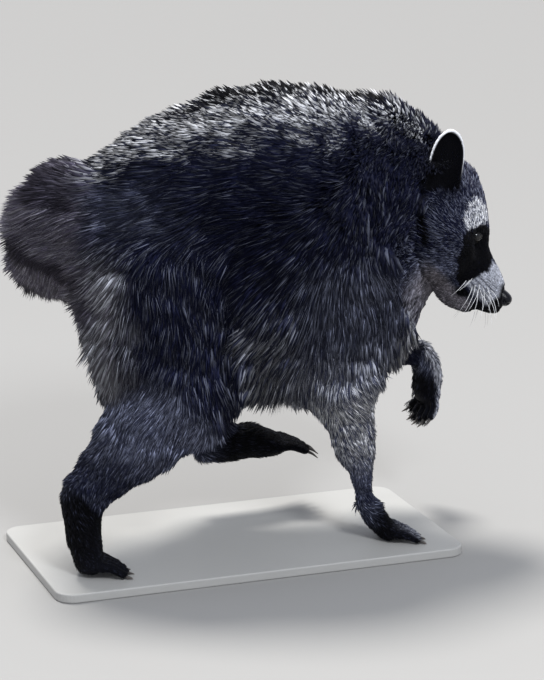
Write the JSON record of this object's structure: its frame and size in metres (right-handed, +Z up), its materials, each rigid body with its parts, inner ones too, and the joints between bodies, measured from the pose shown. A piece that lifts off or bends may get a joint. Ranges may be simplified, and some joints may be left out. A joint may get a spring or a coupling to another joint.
{
  "type": "model raccoon",
  "caption": "Life-size still model of a striding raccoon with dark grizzled fur, masked face and ringed tail, on a thin plate.",
  "frame": {"origin": "middle of the model's floor, on the underside of the plate", "axes": "+X ahead, the way the animal walks, +Y to its left, +Z up"},
  "size_m": [0.4424, 0.229, 0.4053],
  "materials": {
    "coat": "long soft fur, charcoal with silver-tipped guard hairs, black and white on the face, ringed on the tail",
    "paw": "black skin under short dark fur",
    "nose": "moist black pebbled skin",
    "eye": "polished dark brown, wet look",
    "claw": "dark horn with paler tips",
    "plate": "pale matt paint"
  },
  "bodies": {
    "root": {"trunk": "coat", "neck": "coat", "head": "coat", "muzzle": "coat", "tail_root": "coat", "tail_middle": "coat", "tail_tip": "coat", "ear_left": "coat", "ear_right": "coat", "right_upper_arm": "coat", "right_forearm": "coat", "right_thigh": "coat", "right_shank": "coat", "left_upper_arm": "coat", "left_forearm": "coat", "left_thigh": "coat", "left_shank": "coat", "right_fore_paw": "paw", "left_fore_paw": "paw", "right_hind_foot": "paw", "left_hind_foot": "paw", "nose": "nose", "eye_left": "eye", "eye_right": "eye", "right_fore_paw_claw_1": "claw", "right_fore_paw_claw_2": "claw", "right_fore_paw_claw_3": "claw", "right_fore_paw_claw_4": "claw", "right_fore_paw_claw_5": "claw", "left_fore_paw_claw_1": "claw", "left_fore_paw_claw_2": "claw", "left_fore_paw_claw_3": "claw", "left_fore_paw_claw_4": "claw", "left_fore_paw_claw_5": "claw", "right_hind_foot_claw_1": "claw", "right_hind_foot_claw_2": "claw", "right_hind_foot_claw_3": "claw", "right_hind_foot_claw_4": "claw", "right_hind_foot_claw_5": "claw", "left_hind_foot_claw_1": "claw", "left_hind_foot_claw_2": "claw", "left_hind_foot_claw_3": "claw", "left_hind_foot_claw_4": "claw", "left_hind_foot_claw_5": "claw", "stand_base": "plate"}
  },
  "joints": []
}
